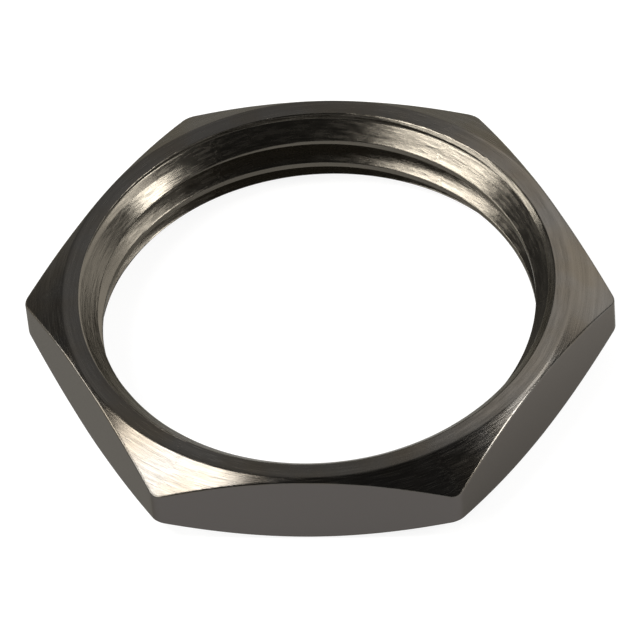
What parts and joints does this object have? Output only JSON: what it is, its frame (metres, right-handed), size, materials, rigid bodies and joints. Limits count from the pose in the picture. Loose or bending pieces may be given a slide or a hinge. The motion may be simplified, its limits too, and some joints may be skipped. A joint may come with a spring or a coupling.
{
  "type": "hexagonal jam nut",
  "caption": "Thin hexagonal jam nut in plated brass with chamfered corners, a countersunk bore and a right-hand parallel pipe thread.",
  "frame": {"origin": "centre of the lower face, on the thread's axis", "axes": "+Z along the thread's axis from the lower face to the upper face, +X through a corner of the hexagon, +Y through a flat"},
  "size_m": [0.0412, 0.036, 0.006],
  "materials": {
    "plated_brass": "turned brass under dark nickel plating"
  },
  "bodies": {
    "root": {"jam_nut": "plated_brass"}
  },
  "joints": []
}
